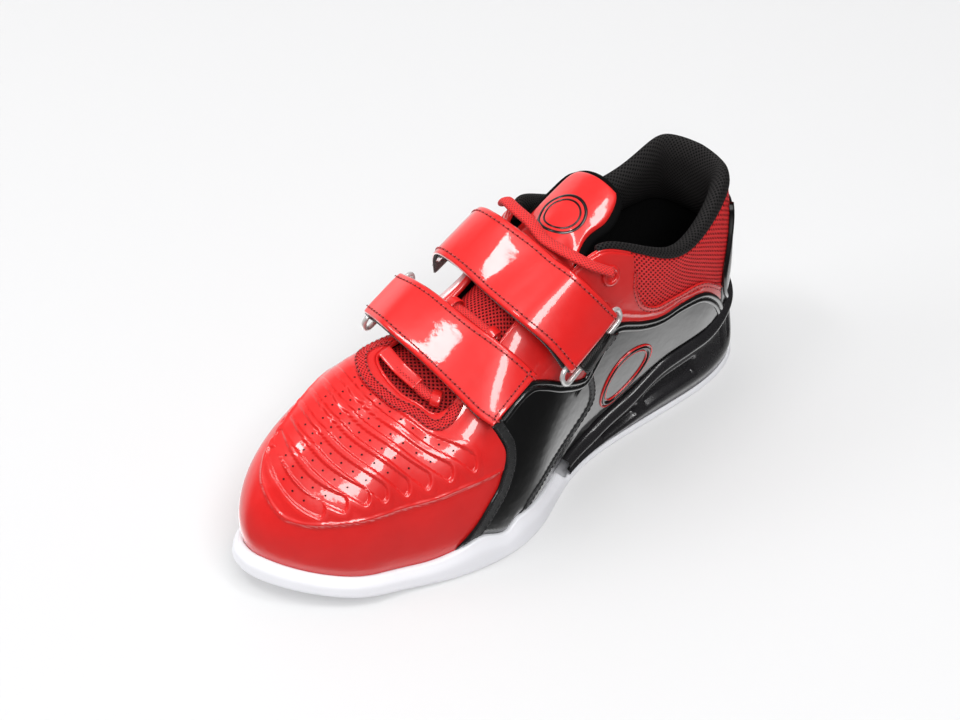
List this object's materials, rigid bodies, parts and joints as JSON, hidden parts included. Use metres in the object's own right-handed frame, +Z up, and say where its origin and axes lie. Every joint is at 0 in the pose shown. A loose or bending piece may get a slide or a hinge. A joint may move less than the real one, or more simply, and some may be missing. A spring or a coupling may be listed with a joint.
{
  "type": "weightlifting shoe",
  "caption": "Left low-cut lifting shoe with a hard raised heel wedge, a cup outsole, laces and two hook-and-loop straps through metal rings.",
  "frame": {"origin": "on the floor plane, under the middle of the shoe's length, on the sole's bottom face", "axes": "+X towards the heel, the toe at -X; -Y is the lateral (outer) side of this left shoe; +Z up"},
  "size_m": [0.2912, 0.1026, 0.127],
  "materials": {
    "white_rubber": "matt, slightly speckled",
    "black_tpu": "satin to glossy",
    "red_patent": "patent, wet-looking",
    "black_patent": "patent, wet-looking",
    "red_strap": "patent, stitched edges",
    "black_mesh": "spacer mesh",
    "black_lining": "brushed cloth",
    "red_cloth": "coarse mesh",
    "steel_wire": "polished wire",
    "black_webbing": "woven",
    "red_eyelet": "moulded",
    "red_lace": "braided"
  },
  "bodies": {
    "root": {"outsole": "white_rubber", "heel_wedge": "black_tpu", "upper": "red_patent", "collar_padding": "black_mesh", "insole": "black_lining", "tongue": "red_cloth", "quarter_lateral": "black_patent", "quarter_medial": "black_patent", "heel_counter": "black_patent", "strap_lower": "red_strap", "strap_upper": "red_strap", "ring_lower": "steel_wire", "ring_upper": "steel_wire", "tab_lower": "black_webbing", "tab_upper": "black_webbing", "eyelet_lateral": "red_eyelet", "eyelet_medial": "red_eyelet", "lace_top": "red_lace", "lace_middle": "red_lace", "lace_bottom": "red_lace"}
  },
  "joints": []
}
